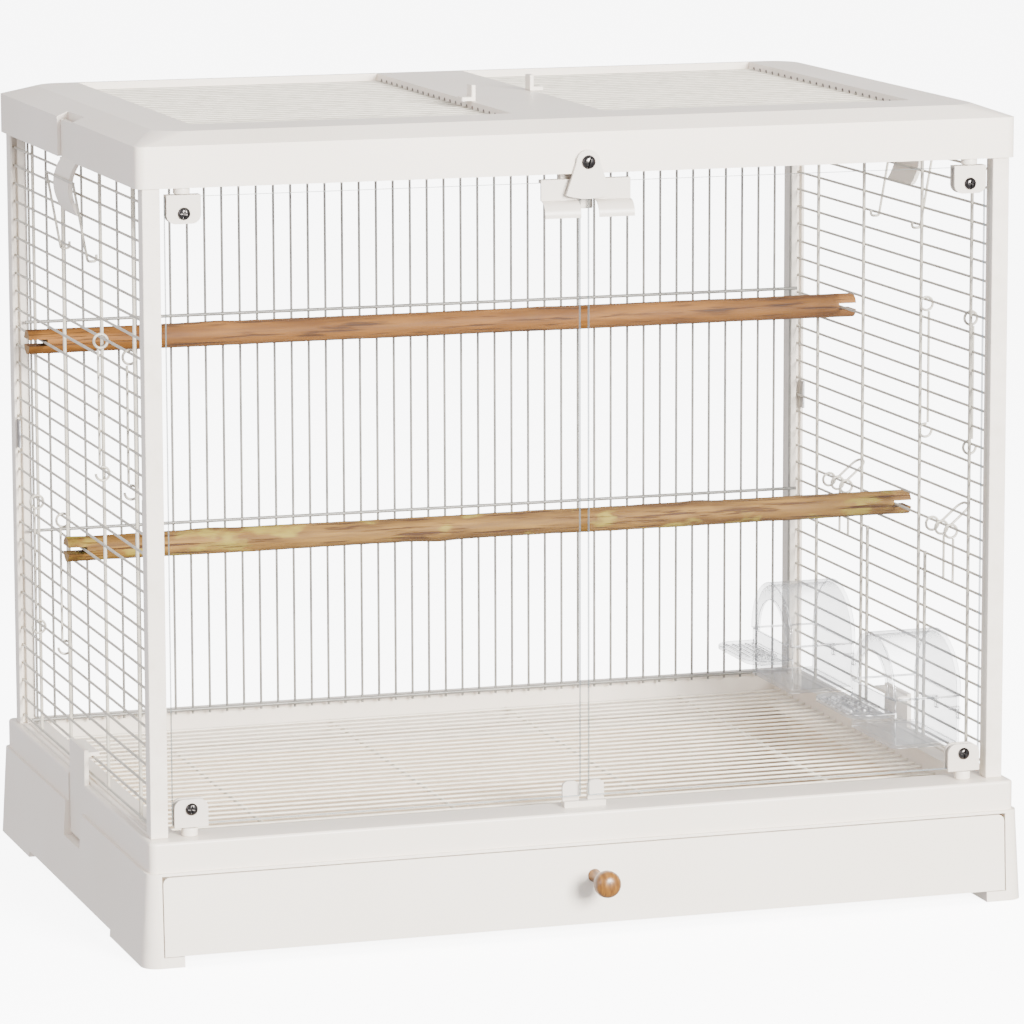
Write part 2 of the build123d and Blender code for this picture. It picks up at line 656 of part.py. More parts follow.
# Glass doors, each with a pair of pivot clamps, their screws and a handle
clamp_back = glass_y + glass_thickness + clamp_wall
clamp_levels = {
    "top": (glass_high + clamp_cover - clamp_height, glass_high + clamp_cover),
    "foot": (glass_low - clamp_cover, glass_low - clamp_cover + clamp_height),
}
screw_levels = (glass_high - screw_inset[1], glass_low + screw_inset[1])
screw_x = glass_outer - screw_inset[0]
for side, side_name in ((-1, "left"), (1, "right")):
    pane_middle = side * (glass_outer + glass_inner) / 2
    clamp_x = side * (glass_outer - clamp_inset - clamp_width / 2)
    with BuildPart() as glass:
        with BuildSketch(Plane.XZ.offset(-glass_y - glass_thickness)):
            with Locations((pane_middle, (glass_low + glass_high) / 2)):
                Rectangle(glass_outer - glass_inner, glass_high - glass_low)
            with Locations(*[(side * screw_x, level) for level in screw_levels]):
                Circle(screw_radius + pin_fit, mode=Mode.SUBTRACT)
        extrude(amount=glass_thickness)
    save(glass.part, f"glass_{side_name}")

    with BuildPart() as clamps:
        for place, (low, high) in clamp_levels.items():
            with BuildSketch(Plane.XZ.offset(-clamp_back)):
                with Locations((clamp_x, (low + high) / 2)):
                    clamp_face = Rectangle(clamp_width, high - low)
                fillet(clamp_face.vertices().group_by(Axis.Y)[0 if place == "top" else -1],
                       radius=clamp_corner)
            extrude(amount=clamp_back - glass_y + clamp_wall)
        with BuildSketch(Plane.XZ.offset(-glass_y - glass_thickness - weld_gap)):
            with Locations((pane_middle, (glass_low + glass_high) / 2)):
                Rectangle(glass_outer - glass_inner + 2 * weld_gap, glass_high - glass_low + 2 * weld_gap)
        extrude(amount=glass_thickness + 2 * weld_gap, mode=Mode.SUBTRACT)
        with BuildSketch(Plane.XZ.offset(-clamp_back - overrun)):
            with Locations(*[(side * screw_x, level) for level in screw_levels]):
                Circle(screw_radius + pin_fit)
        extrude(amount=clamp_back - glass_y + clamp_wall + 2 * overrun, mode=Mode.SUBTRACT)
        with BuildSketch(Plane.XY.offset(clamp_levels["top"][1])):
            with Locations((side * pivot_x, pivot_y)):
                Circle(pin_radius)
        extrude(amount=glass_head - clamp_cover - bush_gap)
        with BuildSketch(Plane.XY.offset(clamp_levels["foot"][0] - glass_foot + clamp_cover + bush_gap)):
            with Locations((side * pivot_x, pivot_y)):
                Circle(pin_radius)
        extrude(amount=glass_foot - clamp_cover - bush_gap)
    save(clamps.part, f"hinge_clamps_{side_name}")

    with BuildPart() as screws:
        for level in screw_levels:
            with BuildSketch(Plane.XZ.offset(-clamp_back)):
                with Locations((side * screw_x, level)):
                    Circle(screw_radius)
            extrude(amount=clamp_back - glass_y + clamp_wall + weld_gap)
            with BuildSketch(Plane.XZ.offset(-glass_y + clamp_wall + weld_gap)):
                with Locations((side * screw_x, level)):
                    Circle(screw_head_radius)
            extrude(amount=screw_head_height, taper=20)
    save(screws.part, f"hinge_screws_{side_name}")

    handle_x = side * (glass_inner + handle_inset + handle_width / 2)
    plate_y = glass_y - weld_gap
    plate_top = glass_high + handle_rise
    plate_low = plate_top - handle_plate
    cap = handle_thickness
    with BuildPart() as handle:
        with BuildSketch(Plane.YZ.offset(handle_x - handle_width / 2)):
            with BuildLine():
                roll_end = (plate_y - cap - handle_roll_radius, plate_low - handle_roll_radius)
                outer_start = (plate_y - cap, plate_low)
                inner_start = (plate_y, plate_low)
                inner_end = (plate_y - cap - handle_roll_radius, plate_low - handle_roll_radius - cap)
                RadiusArc(outer_start, roll_end, -handle_roll_radius, short_sagitta=True)
                Line(roll_end, inner_end)
                RadiusArc(inner_end, inner_start, handle_roll_radius + cap, short_sagitta=True)
                Polyline(
                    inner_start,
                    (plate_y, glass_high + weld_gap),
                    (glass_y + glass_thickness + weld_gap, glass_high + weld_gap),
                    (glass_y + glass_thickness + weld_gap, plate_top),
                    (plate_y - cap, plate_top),
                    outer_start,
                )
            make_face()
        extrude(amount=handle_width)
    save(handle.part, f"handle_{side_name}")

# Pivot bushes: one pair on the base, one pair under the lid
bush_foot = (deck, clamp_levels["foot"][0] - bush_gap)
bush_head = (clamp_levels["top"][1] + bush_gap, lid_low)
for name, (low, high) in (("pivot_bushes_lower", bush_foot), ("pivot_bushes_upper", bush_head)):
    with BuildPart() as bushes:
        with BuildSketch(Plane.XY.offset(low)):
            with Locations((-pivot_x, pivot_y), (pivot_x, pivot_y)):
                Circle(bush_radius)
                Circle(pin_radius + pin_fit, mode=Mode.SUBTRACT)
        extrude(amount=high - low)
    save(bushes.part, name)

# Door stop on the base's sill, behind the meeting edges of the panes
stop_y = glass_y + glass_thickness + slip
with BuildPart() as door_stop:
    with BuildSketch(Plane.XY.offset(deck)):
        with Locations((0, (glass_y + stop_y + stop_thickness) / 2)):
            Rectangle(stop_width, stop_y + stop_thickness - glass_y)
    extrude(amount=stop_bar_height)
    with BuildSketch(Plane.XZ.offset(-stop_y - stop_thickness)):
        for side in (-1, 1):
            with Locations((side * (stop_width - stop_lobe_width) / 2, deck + stop_lobe_height / 2)):
                RectangleRounded(stop_lobe_width, stop_lobe_height, stop_bar_height)
    extrude(amount=stop_thickness)
save(door_stop.part, "door_stop")

# Turn latch, its screw and the stop block behind it
latch_y = lid_front - latch_stand
latch_low = latch_z - latch_drop
with BuildPart() as turn_latch:
    with BuildSketch(Plane.XZ.offset(-latch_y)):
        with Locations((0, latch_z)):
            Circle(latch_top_radius)
        with BuildLine():
            Polyline(
                (latch_half_width, latch_low + latch_belly),
                (latch_top_radius, latch_z),
                (-latch_top_radius, latch_z),
                (-latch_half_width, latch_low + latch_belly),
            )
            ThreePointArc(
                (-latch_half_width, latch_low + latch_belly),
                (0, latch_low),
                (latch_half_width, latch_low + latch_belly),
            )
        make_face()
        with Locations((0, latch_z)):
            Circle(latch_screw_radius + pin_fit, mode=Mode.SUBTRACT)
    extrude(amount=latch_thickness)
save(turn_latch.part, "turn_latch")

latch_head_y = latch_y - latch_thickness - pin_fit
with BuildPart() as latch_screw:
    with BuildSketch(Plane.XZ.offset(-lid_front)):
        with Locations((0, latch_z)):
            Circle(latch_screw_radius)
    extrude(amount=lid_front - latch_head_y)
    with BuildSketch(Plane.XZ.offset(-latch_head_y)):
        with Locations((0, latch_z)):
            Circle(latch_screw_head_radius)
    extrude(amount=latch_screw_head_height, taper=25)
save(latch_screw.part, "latch_screw")

with BuildPart() as latch_stop_block:
    with BuildSketch(Plane.XY.offset(lid_low - latch_block[2])):
        with Locations((-latch_block[0] / 2, glass_y + glass_thickness + slip + latch_block[1] / 2)):
            Rectangle(latch_block[0], latch_block[1])
    extrude(amount=latch_block[2])
    with BuildSketch(Plane.XY.offset(lid_low - latch_tongue[2])):
        with Locations((0, glass_y + glass_thickness + slip + latch_tongue[1] / 2)):
            Rectangle(latch_tongue[0], latch_tongue[1])
    extrude(amount=latch_tongue[2])
save(latch_stop_block.part, "latch_stop_block")

# Side latches: a lever in the lid's slot, a wire bail on it, and a lever in the base
lever_top = fascia_top - lever_pivot_drop
lever_low = lever_top - lever_drop
bail_z = lever_low + bail_height
bail_x = lever_x + lever_belly + bail_radius
hook_z = row_z(bail_rows)
for side, side_name in ((-1, "left"), (1, "right")):
    with BuildPart() as lever:
        with BuildSketch(Plane.XZ.offset(-(panel_middle + lever_width / 2))):
            with BuildLine():
                outer_top = (side * (lever_x + lever_thickness / 2), lever_top + lever_thickness)
                outer_mid = (side * (lever_x + lever_thickness / 2), lid_low)
                outer_out = (side * (lever_x + lever_thickness / 2 + lever_belly), bail_z)
                outer_low = (side * (lever_x + lever_thickness / 2), lever_low)
                inner_low = (side * (lever_x - lever_thickness / 2), lever_low)
                inner_out = (side * (lever_x - lever_thickness / 2 + lever_belly), bail_z)
                inner_mid = (side * (lever_x - lever_thickness / 2), lid_low)
                inner_top = (side * (lever_x - lever_thickness / 2), lever_top + lever_thickness)
                Line(outer_top, outer_mid)
                Spline(outer_mid, outer_out, outer_low)
                Line(outer_low, inner_low)
                Spline(inner_low, inner_out, inner_mid)
                Line(inner_mid, inner_top)
                Line(inner_top, outer_top)
            make_face()
        extrude(amount=lever_width)
        with BuildSketch(Plane.XZ.offset(-(panel_middle + slot_width / 2 - weld_gap))):
            with Locations((side * lever_x, lever_top)):
                Circle(lever_pin_radius)
        extrude(amount=slot_width - 2 * weld_gap)
    save(lever.part, f"top_lever_{side_name}")

    bar_x = side * (bail_x + lever_thickness / 2 + weld_gap)
    with BuildPart() as bail:
        with BuildSketch(Plane.XZ.offset(-(panel_middle + bail_half + bail_radius))):
            with Locations((bar_x, bail_z)):
                Circle(bail_radius)
        extrude(amount=2 * (bail_half + bail_radius))
        for end in (-1, 1):
            leg_y = panel_middle + end * bail_half
            tip = (side * (side_x - hook_depth), leg_y, hook_z + hook_depth / 2)
            with BuildLine():
                FilletPolyline(
                    tip,
                    (side * (side_x - hook_depth), leg_y, hook_z - hook_depth),
                    (side * (side_x + hook_depth), leg_y, hook_z - hook_depth),
                    (bar_x, leg_y, bail_z - bail_radius - weld_gap),
                    radius=hook_depth * 2 / 3,
                )
            with BuildSketch(Plane(origin=tip, z_dir=(0, 0, 1))):
                Circle(bail_radius)
            sweep()
    save(bail.part, f"top_bail_{side_name}")

    plate_x = recess_side + slip + lever_thickness / 2
    lip_z = row_z(side_wires - base_lever_rows) + wire_thin / 2 + slip
    plate_rise = lip_z + base_lever_lip_thickness + base_lever_margin - deck
    with BuildPart() as base_lever:
        with BuildSketch(Plane.XZ.offset(-(panel_middle + lever_width / 2))):
            with Locations((side * plate_x, deck + (plate_rise - base_lever_drop) / 2)):
                Rectangle(lever_thickness, plate_rise + base_lever_drop)
            with Locations((side * plate_x, deck - base_lever_drop)):
                Circle(lever_thickness / 2)
            with Locations((side * (plate_x - base_lever_lip / 2), lip_z + base_lever_lip_thickness / 2)):
                Rectangle(base_lever_lip, base_lever_lip_thickness)
        extrude(amount=lever_width)
        with BuildSketch(Plane.XZ.offset(-(panel_middle + slot_width / 2 - weld_gap))):
            with Locations((side * plate_x, deck - base_lever_drop)):
                Circle(lever_pin_radius)
        extrude(amount=slot_width - 2 * weld_gap)
    save(base_lever.part, f"base_lever_{side_name}")

# Clear feeders: an open cup with a ribbed landing lip, and a domed hood
cup_back = upright_x - wire_thick / 2 - feeder_panel_gap
cup_low = deck + feeder_foot
cup_top = cup_low + feeder_cup_height
hook_over = wire_thin / 2 + slip
hook_row = int((row_z(0) + hook_over + feeder_hook_thickness - cup_top) / wire_spacing) + 1  # highest that fits
hook_seat = row_z(hook_row) + hook_over
hook_foot = hook_seat - feeder_hook_drop
hook_root = cup_back - feeder_wall / 2
hook_inside = side_x + wire_thin / 2 + slip
hook_outside = hook_inside + feeder_hook_thickness
for end_name, y in (("front", (uprights_y[0] + uprights_y[1]) / 2),
                    ("rear", (uprights_y[2] + uprights_y[3]) / 2)):
    cup_x = cup_back - feeder_depth / 2
    with BuildPart() as cup:
        with BuildSketch(Plane.XY.offset(cup_low)):
            with Locations((cup_x, y)):
                RectangleRounded(feeder_depth, feeder_width, 2 * feeder_wall)
        extrude(amount=feeder_cup_height)
        with BuildSketch(Plane.XY.offset(cup_low + feeder_wall)):
            with Locations((cup_x, y)):
                Rectangle(feeder_depth - 2 * feeder_wall, feeder_width - 2 * feeder_wall)
        extrude(amount=feeder_cup_height, mode=Mode.SUBTRACT)
        lip_x = cup_back - feeder_depth
        with BuildSketch(Plane.XY.offset(cup_top - lip_drop)):
            with Locations((lip_x - lip_length / 2 + feeder_wall / 2, y)):
                lip = Rectangle(lip_length + feeder_wall, feeder_width)
                fillet(lip.vertices().group_by(Axis.X)[0], radius=lip_length / 2)
        extrude(amount=lip_thickness)
        with BuildSketch(Plane.XY.offset(cup_top - lip_drop + lip_thickness)):
            for i in range(lip_ribs):
                rib_x = lip_x - (i + 1) * lip_length / (lip_ribs + 1)
                with Locations((rib_x, y)):
                    Rectangle(lip_rib, feeder_width - lip_length)
        extrude(amount=lip_rib)
        for hook_y in (y - feeder_hook_half, y + feeder_hook_half):
            with BuildSketch(Plane.XZ.offset(-(hook_y + feeder_hook_width / 2))):
                with BuildLine():
                    Polyline(
                        (hook_root, hook_seat),
                        (hook_inside, hook_seat),
                        (hook_inside, hook_foot),
                        (hook_outside, hook_foot),
                        (hook_outside, hook_seat + feeder_hook_thickness),
                        (hook_root, hook_seat + feeder_hook_thickness),
                        close=True,
                    )
                make_face()
            extrude(amount=feeder_hook_width)
    save(cup.part, f"feeder_cup_{end_name}")

    hood_low = cup_top + hood_gap
    hood_half = feeder_width / 2
    with BuildPart() as hood:
        for shrink, how in ((0, Mode.ADD), (feeder_wall, Mode.SUBTRACT)):
            with BuildSketch(Plane.YZ.offset(cup_back - feeder_depth + shrink)):
                with Locations((y, hood_low)):
                    Ellipse(hood_half - shrink, hood_rise - shrink)
            extrude(amount=feeder_depth - 2 * shrink, mode=how)
        split(bisect_by=Plane.XY.offset(hood_low), keep=Keep.TOP)
        with BuildSketch(Plane.YZ.offset(cup_back - feeder_depth - overrun)):
            with Locations((y, hood_low)):
                Circle(hood_opening_radius)
        extrude(amount=feeder_wall + 2 * overrun, mode=Mode.SUBTRACT)
    save(hood.part, f"feeder_hood_{end_name}")

# Spring clips on the posts, round the ends of the side panels
with BuildPart() as post_clips:
    with BuildSketch(Plane.XY.offset(deck + clip_level - clip_height / 2)):
        for side in (-1, 1):
            for y in (front + post_size + clip_width / 2 + slip, back - post_size - clip_width / 2 - slip):
                clip_x = side * (side_x + wire_thin / 2 + weld_gap + clip_thickness / 2)
                with Locations((clip_x, y)):
                    Rectangle(clip_thickness, clip_width)
    extrude(amount=clip_height)
save(post_clips.part, "post_clips")
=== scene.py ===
import json
import math

import bmesh
import bpy
from mathutils import Matrix, Vector, noise


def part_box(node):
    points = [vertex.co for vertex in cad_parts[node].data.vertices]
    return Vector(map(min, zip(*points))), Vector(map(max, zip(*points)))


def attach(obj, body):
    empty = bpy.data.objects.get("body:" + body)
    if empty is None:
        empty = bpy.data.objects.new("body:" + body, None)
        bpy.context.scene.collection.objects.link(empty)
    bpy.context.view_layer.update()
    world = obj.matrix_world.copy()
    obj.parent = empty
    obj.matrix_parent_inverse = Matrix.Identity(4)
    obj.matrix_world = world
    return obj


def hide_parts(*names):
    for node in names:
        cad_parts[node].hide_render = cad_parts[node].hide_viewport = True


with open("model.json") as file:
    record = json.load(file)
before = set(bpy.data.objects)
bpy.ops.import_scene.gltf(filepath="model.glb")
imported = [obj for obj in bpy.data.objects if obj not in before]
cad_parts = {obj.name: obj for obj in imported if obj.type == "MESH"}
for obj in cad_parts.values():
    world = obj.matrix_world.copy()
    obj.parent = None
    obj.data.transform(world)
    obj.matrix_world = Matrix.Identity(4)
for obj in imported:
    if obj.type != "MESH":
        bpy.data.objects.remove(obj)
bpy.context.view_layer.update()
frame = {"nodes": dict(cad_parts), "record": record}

# All lengths are in metres

# Thin wires: their diameter and the distance between their centres
WIRE = 0.0018
WIRE_SPACING = 0.0127

# The cage's main places, read from its posts and side wires
post_low, post_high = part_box("post_front_left")
rear_low, rear_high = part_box("post_rear_right")
MIDDLE_X = (post_low.x + rear_high.x) / 2
FRONT_Y = post_low.y
BASE_TOP = post_low.z
SIDE_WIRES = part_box("side_grille_right")[1].x - WIRE / 2 - MIDDLE_X     # centres, from the middle

# Rounded edges, by a node's material slot
EDGE_WIDTHS = {"white_plastic": 0.0007, "white_enamel": 0.0006, "clear_plastic": 0.0005,
               "glass": 0.0003, "spring_steel": 0.0002}
EDGE_SEGMENTS = 2
EDGE_ANGLE = math.radians(35)       # edges sharper than this are rounded
SEAM_GAP = 0.00001                  # vertices nearer than this are joined first
CRISP_NODES = {"turn_latch"}        # rounding would leave a false crease across its face

# Perches: branches in the places of the CAD rods
BRANCH_RINGS = 260
BRANCH_SIDES = 48
BRANCH_SHARE = 0.945                # the branch's mean radius, as a share of the rod's
SLOW_SWELL = (16, 1.2)              # noise scales along the branch, per metre, and round it
QUICK_SWELL = (70, 5)
SLOW_SHARE = 0.6                    # of the slow swell, the rest is the quick one's
KNOT_LENGTH = 0.011
KNOT_TURN = 1.25                    # radians round the branch
KNOT_STAND = 0.000355               # the most that a knot stands past the rod
SLOT_DEPTH = 0.013
SLOT_HEIGHT = 0.0046
SLOT_OVERRUN = 0.002                # how far the slot's cut starts past the end
SLOT_REACH = 0.02                   # half the cut's width, past both sides of the branch

# Screws: a head's outline as shares of its radius and height, and the bars cut into it
HEAD_SHARES = [(0, -0.6), (0.5, -0.6), (0.5, 0), (0.96, 0), (1, 0.18), (0.96, 0.46), (0.8, 0.78),
               (0.5, 0.95), (0, 1)]
BAR_CENTRE_SHARE = 0.9              # of the head's height
BAR_DEPTH_SHARE = 1.3               # of the head's height
BAR_WIDTH_SHARE = 0.26              # of the head's radius
# reach is half a bar's length as a share of the radius, and turns holds one turn for each bar
HINGE_HEAD = {"radius": 0.0041, "height": 0.0022, "reach": 0.66, "turns": (0.12, 0.12 + math.pi / 2)}
LATCH_HEAD = {"radius": 0.0046, "height": 0.0024, "reach": 1.2, "turns": (math.radians(-72),)}
SOLID_GAP = 0.000005                # vertices nearer than this are one corner of a solid

# Ridges on the base's rim: places beside the side wires, and an outline across one ridge
RIDGE_OFFSETS = (-0.0026, 0.0022)
RIDGE_END_GAP = 0.004               # from the posts
RIDGE_OUTLINE = [(-0.0006, 0), (-0.00045, 0.0008), (0.0, 0.0011), (0.00045, 0.0008), (0.0006, 0)]

# Sockets in the lid for the top wires' ends
OPENING_SLIP = 0.0003               # between the wires' ends and the opening's walls
OPENING_EDGE = 0.0053               # from the long wires' ends to the walls in front and behind
SOCKET_DROP = 0.0045                # from the lid's top to the sockets' centres
SOCKET_OUTLINE = [(0, 0.0), (0.0017, 0.0), (0.0017, 0.00015), (0.0012, 0.00022), (0, 0.00012)]
SOCKET_SIDES = 16

# Stage
FLOOR_SIZE = 30.0
FLOOR_GLOW = 7.0
SURROUND_COLOUR = (0.955, 0.95, 1.0, 1.0)
SURROUND_STRENGTH = 1.1
LAMP_TARGET = Vector((0, 0, 0.28))
LAMPS = {                           # place, size, watts, colour
    "key": ((0.9, -3.8, 1.35), 1.3, 760.0, (1.0, 0.985, 0.96)),
    "fill": ((-3.0, -1.2, 1.4), 2.2, 72.0, (0.95, 0.92, 1.0)),
    "top": ((0.0, 0.2, 2.8), 2.0, 25.0, (1.0, 1.0, 1.0)),
}

# Camera, fitted to the evenly spaced wires in the photo
PHOTO_PIXELS = 1024
FOCAL_PIXELS = 5461.58
SENSOR_MM = 36.0
CAMERA_PLACE = Vector((-1.12605, -3.35905, 0.80309))    # from the front's middle, at the base's top
CAMERA_YAW = math.radians(17.73805)
CAMERA_PITCH = math.radians(-9.67358)
CAMERA_ROLL = math.radians(-0.15689)


class Field:
    """A socket in a shader tree. Sums and products on it add Math nodes; node() adds any other."""

    def __init__(self, tree, socket=None):
        self.tree = tree
        self.socket = socket

    def feed(self, target, value):
        """Links a Field to a node's input, or sets the input to a plain value."""
        if isinstance(value, Field):
            self.tree.links.new(value.socket, target)
        else:
            target.default_value = value

    def node(self, kind, settings, inputs, output=0):
        """Any shader node: its settings first, then its inputs. Returns one output."""
        made = self.tree.nodes.new("ShaderNode" + kind)
        for key, value in settings.items():
            setattr(made, key, value)
        for key, value in inputs.items():
            self.feed(made.inputs[key], value)
        return Field(self.tree, made.outputs[output])

    def math(self, operation, a, b=0.0):
        return self.node("Math", {"operation": operation}, {0: a, 1: b})

    def __add__(self, other):
        return self.math("ADD", self, other)

    def __radd__(self, other):
        return self.math("ADD", other, self)

    def __sub__(self, other):
        return self.math("SUBTRACT", self, other)

    def __rsub__(self, other):
        return self.math("SUBTRACT", other, self)

    def __mul__(self, other):
        return self.math("MULTIPLY", self, other)

    def __rmul__(self, other):
        return self.math("MULTIPLY", other, self)

    def place(self):
        """A point's place in the piece's own space, in metres."""
        return self.node("TexCoord", {}, {}, "Object")

    def noise(self, place, scale=1.0, detail=3.0):
        return self.node("TexNoise", {}, {"Vector": place, "Scale": scale, "Detail": detail})

    def stretched(self, place, x, y, z):
        """A place scaled by axis, so that noise on it runs long where the scale is small."""
        return self.node("VectorMath", {"operation": "MULTIPLY"}, {0: place, 1: (x, y, z)})

    def band(self, value, low, high):
        """0 below low, 1 above high, and a straight ramp between."""
        return self.node("MapRange", {"clamp": True}, {0: value, 1: low, 2: high, 3: 0.0, 4: 1.0})

    def between(self, factor, first, second):
        """The first colour where factor is 0, the second where it is 1."""
        return self.node("Mix", {"data_type": "RGBA"}, {0: factor, 6: first, 7: second}, 2)

    def bump(self, height, strength, distance):
        return self.node("Bump", {}, {"Strength": strength, "Distance": distance, "Height": height})

    def rim(self, blend):
        """How far a face turns away from the eye."""
        return self.node("LayerWeight", {}, {"Blend": blend}, "Facing")

    def facing_axis(self, axis):
        """How squarely a face looks along X, Y or Z, in the piece's own space."""
        normal = self.node("TexCoord", {}, {}, "Normal")
        part = self.node("SeparateXYZ", {}, {0: normal}, axis)
        return self.math("ABSOLUTE", part)


def rgb(r, g, b):
    return (r, g, b, 1.0)


def new_material(name, constants, paint):
    """A Principled material: constants on its own sockets, and what paint() returns linked in."""
    made = bpy.data.materials.new(name)
    made.use_nodes = True
    shader = made.node_tree.nodes["Principled BSDF"]
    for key, value in constants.items():
        shader.inputs[key].default_value = value
    field = Field(made.node_tree)
    for key, value in paint(field).items():
        field.feed(shader.inputs[key], value)
    return made


def moulded(light, shade, roughness):
    """Satin moulded plastic: slow colour drift, uneven sheen and a fine mould texture."""
    def paint(f):
        place = f.place()
        drift = f.noise(place, scale=7.0, detail=2.0)
        sheen = f.noise(place, scale=38.0, detail=4.0)
        grain = f.noise(place, scale=1500.0, detail=2.0)
        sink = f.noise(place, scale=16.0, detail=1.0)
        return {
            "Base Color": f.between(f.band(drift, 0.3, 0.7), light, shade),
            "Roughness": roughness + 0.14 * (sheen - 0.5),
            "Normal": f.bump(grain * 0.35 + sink, strength=0.16, distance=0.0006),
        }
    return paint


def coated(light, shade, roughness):
    """Powder coat: orange-peel bump with slightly darker thin places."""
    def paint(f):
        place = f.place()
        peel = f.noise(place, scale=700.0, detail=2.0)
        thin = f.noise(place, scale=90.0, detail=3.0)
        return {
            "Base Color": f.between(f.band(thin, 0.42, 0.72), light, shade),
            "Roughness": roughness + 0.16 * (peel - 0.5),
            "Normal": f.bump(peel, strength=0.2, distance=0.0003),
        }
    return paint


def pane(f):
    """Clear glass: nearly unseen from the front, grey-blue at its cut edges."""
    edge = f.band(1.0 - f.facing_axis(1), 0.3, 0.6)
    smear = f.noise(f.place(), scale=14.0, detail=4.0)
    # The rim term is painted reflection: a faint grey haze that grows toward grazing angles
    clear = 0.003 + 0.04 * f.rim(0.35) + 0.004 * smear
    return {
        "Base Color": f.between(edge, rgb(0.6, 0.63, 0.63), rgb(0.34, 0.41, 0.43)),
        "Alpha": clear + edge * (0.8 - clear),
        "Roughness": 0.03 + 0.05 * smear,
    }


def clear_moulding(f):
    """Clear styrene with flow lines from moulding. Its darker, denser rims are painted reflection."""
    rim = f.rim(0.5)
    flow = f.noise(f.stretched(f.place(), 30.0, 90.0, 30.0))
    return {
        "Base Color": f.between(f.band(rim, 0.5, 0.9), rgb(0.62, 0.64, 0.66), rgb(0.16, 0.175, 0.19)),
        "Alpha": f.band(0.035 + 0.62 * rim * rim + 0.05 * flow, 0.0, 1.0),
        "Roughness": 0.06 + 0.1 * flow,
        "Normal": f.bump(flow, strength=0.25, distance=0.0008),
    }


def clear_edge_painted_glints(f):
    """Rounded edges of clear styrene, with painted reflection and painted highlights: broken dark and
    bright glints.
    """
    glint = f.noise(f.place(), scale=160.0, detail=3.0)
    bright = f.band(glint, 0.45, 0.62)
    return {
        "Base Color": f.between(bright, rgb(0.15, 0.16, 0.17), rgb(0.95, 0.95, 0.95)),
        "Alpha": 0.55 + 0.4 * glint,
        "Roughness": 0.08 + 0.1 * glint,
    }


def branch_wood(pale, dark, patch, patch_low, relief):
    """A branch along X: long grain, cracks and patches of bark, with end grain on its cut ends."""
    def paint(f):
        place = f.place()
        broad = f.noise(f.stretched(place, 14.0, 150.0, 150.0), detail=4.0)
        fine = f.noise(f.stretched(place, 45.0, 1100.0, 1100.0))
        crack = f.band(f.noise(f.stretched(place, 22.0, 420.0, 420.0), detail=5.0), 0.36, 0.44)
        spots = f.band(f.noise(f.stretched(place, 38.0, 75.0, 75.0)), patch_low, patch_low + 0.1)
        ends = f.band(f.facing_axis(0), 0.8, 0.95)
        body = f.between(f.band(broad * 0.7 + fine * 0.3, 0.36, 0.64), dark, pale)
        patched = f.between(spots * 0.75, body, patch)
        cracked = f.between(crack, rgb(0.05, 0.02, 0.006), patched)
        height = broad * 0.6 + crack * 0.5 + fine * 0.25 + spots * 0.2
        return {
            "Base Color": f.between(ends * 0.7, cracked, rgb(0.3, 0.19, 0.09)),
            "Roughness": 0.62 + 0.2 * (fine - 0.5),
            "Normal": f.bump(height, strength=relief, distance=0.0012),
        }
    return paint


def turned_wood(f):
    """An oiled knob turned on the Y axis: straight grain with tight tool lines."""
    place = f.place()
    grain = f.noise(f.stretched(place, 520.0, 45.0, 130.0), detail=5.0)
    tool = f.noise(f.stretched(place, 20.0, 2600.0, 20.0), detail=1.0)
    pale = f.band(grain, 0.34, 0.66)
    return {
        "Base Color": f.between(pale, rgb(0.085, 0.03, 0.003), rgb(0.2, 0.082, 0.006)),
        "Roughness": 0.34 + 0.16 * (grain - 0.5),
        "Normal": f.bump(grain + tool * 0.3, strength=0.22, distance=0.0005),
    }


def metal(light, dark, roughness, scratches):
    """Bare metal with fine drawn scratches and a little tarnish."""
    def paint(f):
        place = f.place()
        scratch = f.noise(f.stretched(place, *scratches))
        tarnish = f.noise(place, scale=260.0, detail=3.0)
        return {
            "Base Color": f.between(f.band(tarnish, 0.4, 0.7), light, dark),
            "Roughness": roughness + 0.2 * (scratch - 0.5),
            "Normal": f.bump(scratch, strength=0.12, distance=0.0002),
        }
    return paint


def floor_paint(f):
    """A pale floor with a hardly seen drift in tone."""
    soft = f.noise(f.place(), scale=1.5, detail=2.0)
    return {"Base Color": f.between(soft, rgb(0.955, 0.955, 0.96), rgb(0.97, 0.97, 0.97))}


